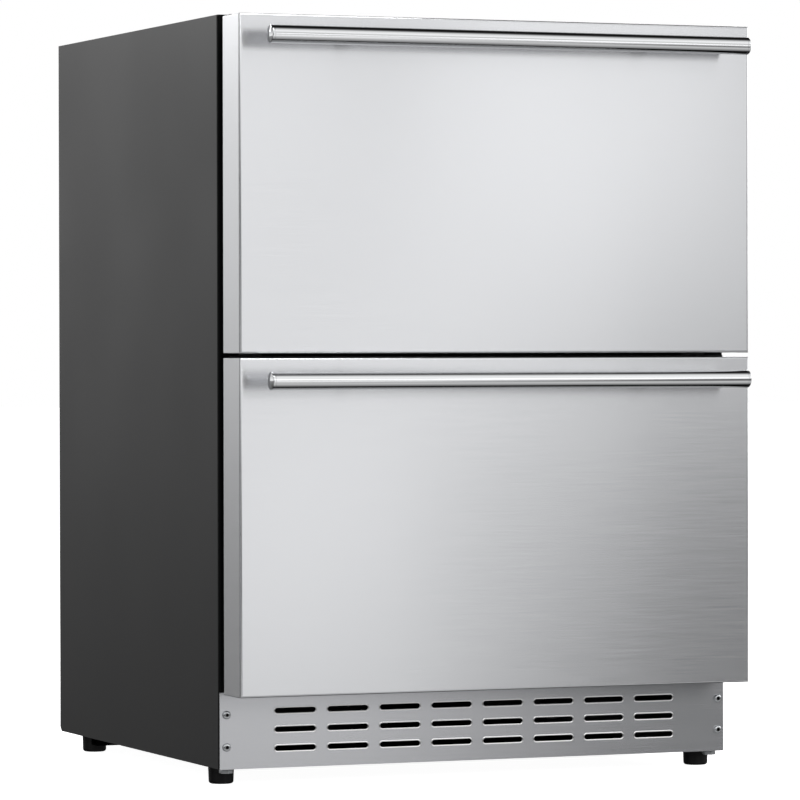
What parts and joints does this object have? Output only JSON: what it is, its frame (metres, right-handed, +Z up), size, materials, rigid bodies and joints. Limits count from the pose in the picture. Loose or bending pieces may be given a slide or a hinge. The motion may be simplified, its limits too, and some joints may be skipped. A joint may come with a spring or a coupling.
{
  "type": "undercounter drawer freezer",
  "caption": "Undercounter freezer with stainless drawers on telescopic slides, tubular bar handles, dark insulated cabinet, slotted kick plate and levelling feet.",
  "frame": {"origin": "on the floor, at the middle of the outline seen from above, handles included", "axes": "+X across the front to the viewer's right, +Y to the back, +Z up; the drawers open towards -Y"},
  "size_m": [0.595, 0.6575, 0.82],
  "materials": {
    "charcoal_paint": "satin",
    "black_paint": "satin",
    "galvanised_steel": "matte",
    "brushed_stainless": "satin",
    "polished_stainless": "polished",
    "plated_steel": "satin",
    "polyurethane_foam": "matte",
    "white_liner": "gloss",
    "black_abs": "satin",
    "black_nylon": "matte",
    "black_rubber": "matte",
    "fin_aluminium": "satin",
    "copper": "satin",
    "bin_plastic": "gloss",
    "lamp_lens": "satin"
  },
  "bodies": {
    "cabinet": {"left_side_panel": "charcoal_paint", "right_side_panel": "charcoal_paint", "top_panel": "charcoal_paint", "back_panel": "galvanised_steel", "bay_panel": "galvanised_steel", "base_pan": "black_paint", "rear_cover": "galvanised_steel", "kick_plate": "brushed_stainless", "kick_plate_screws": "plated_steel", "foot_nuts": "plated_steel", "corner_bolts": "plated_steel", "insulation_foam": "polyurethane_foam", "inner_liner": "white_liner", "breaker_frame": "black_abs", "mullion": "black_paint", "drain_tube": "black_abs", "drain_tray": "black_abs", "evaporator_coil": "fin_aluminium", "evaporator_cover": "white_liner", "evaporator_fan_motor": "black_abs", "condenser_coil": "fin_aluminium", "condenser_fan_shroud": "black_abs", "condenser_fan_motor": "black_abs", "compressor": "black_paint", "compressor_mounts": "black_rubber", "refrigerant_lines": "copper", "power_inlet": "black_abs", "control_panel": "black_abs", "interior_lamp": "lamp_lens", "cabinet_rails": "plated_steel"},
    "upper_drawer": {"upper_drawer_rails": "plated_steel", "upper_front_skin": "brushed_stainless", "upper_front_foam": "polyurethane_foam", "upper_inner_panel": "black_abs", "upper_gasket": "black_rubber", "upper_handle_bar": "polished_stainless", "upper_handle_caps": "polished_stainless", "upper_handle_posts": "polished_stainless", "upper_handle_screws": "plated_steel", "upper_bin_brackets": "plated_steel", "upper_bin": "bin_plastic"},
    "upper_middle_slide": {"upper_middle_rails": "plated_steel"},
    "lower_drawer": {"lower_drawer_rails": "plated_steel", "lower_front_skin": "brushed_stainless", "lower_front_foam": "polyurethane_foam", "lower_inner_panel": "black_abs", "lower_gasket": "black_rubber", "lower_handle_bar": "polished_stainless", "lower_handle_caps": "polished_stainless", "lower_handle_posts": "polished_stainless", "lower_handle_screws": "plated_steel", "lower_bin_brackets": "plated_steel", "lower_bin": "bin_plastic"},
    "lower_middle_slide": {"lower_middle_rails": "plated_steel"},
    "evaporator_rotor": {"evaporator_fan": "white_liner"},
    "condenser_rotor": {"condenser_fan": "black_abs"},
    "left_front_foot": {"left_front_foot": "black_nylon"},
    "left_rear_foot": {"left_rear_foot": "black_nylon"},
    "right_front_foot": {"right_front_foot": "black_nylon"},
    "right_rear_foot": {"right_rear_foot": "black_nylon"}
  },
  "joints": [
    {"name": "upper_drawer_slide", "type": "slide", "parent": "cabinet", "child": "upper_drawer", "axis": [0, -1, 0], "range_m": [0, 0.39]},
    {"name": "upper_middle_slide_travel", "type": "slide", "parent": "cabinet", "child": "upper_middle_slide", "axis": [0, -1, 0], "range_m": [0, 0.195]},
    {"name": "lower_drawer_slide", "type": "slide", "parent": "cabinet", "child": "lower_drawer", "axis": [0, -1, 0], "range_m": [0, 0.39]},
    {"name": "lower_middle_slide_travel", "type": "slide", "parent": "cabinet", "child": "lower_middle_slide", "axis": [0, -1, 0], "range_m": [0, 0.195]},
    {"name": "evaporator_fan_spin", "type": "hinge", "parent": "cabinet", "child": "evaporator_rotor", "pos_m": [0, 0.23982, 0.5375], "axis": [0, 1, 0], "continuous": true},
    {"name": "condenser_fan_spin", "type": "hinge", "parent": "cabinet", "child": "condenser_rotor", "pos_m": [-0.20828, 0.23075, 0.1255], "axis": [1, 0, 0], "continuous": true},
    {"name": "left_front_foot_height", "type": "slide", "parent": "cabinet", "child": "left_front_foot", "axis": [0, 0, -1], "range_m": [0, 0.02]},
    {"name": "left_rear_foot_height", "type": "slide", "parent": "cabinet", "child": "left_rear_foot", "axis": [0, 0, -1], "range_m": [0, 0.02]},
    {"name": "right_front_foot_height", "type": "slide", "parent": "cabinet", "child": "right_front_foot", "axis": [0, 0, -1], "range_m": [0, 0.02]},
    {"name": "right_rear_foot_height", "type": "slide", "parent": "cabinet", "child": "right_rear_foot", "axis": [0, 0, -1], "range_m": [0, 0.02]}
  ],
  "couplings": [
    {"joint": "upper_middle_slide_travel", "follows": "upper_drawer_slide", "ratio": 0.5},
    {"joint": "lower_middle_slide_travel", "follows": "lower_drawer_slide", "ratio": 0.5}
  ]
}
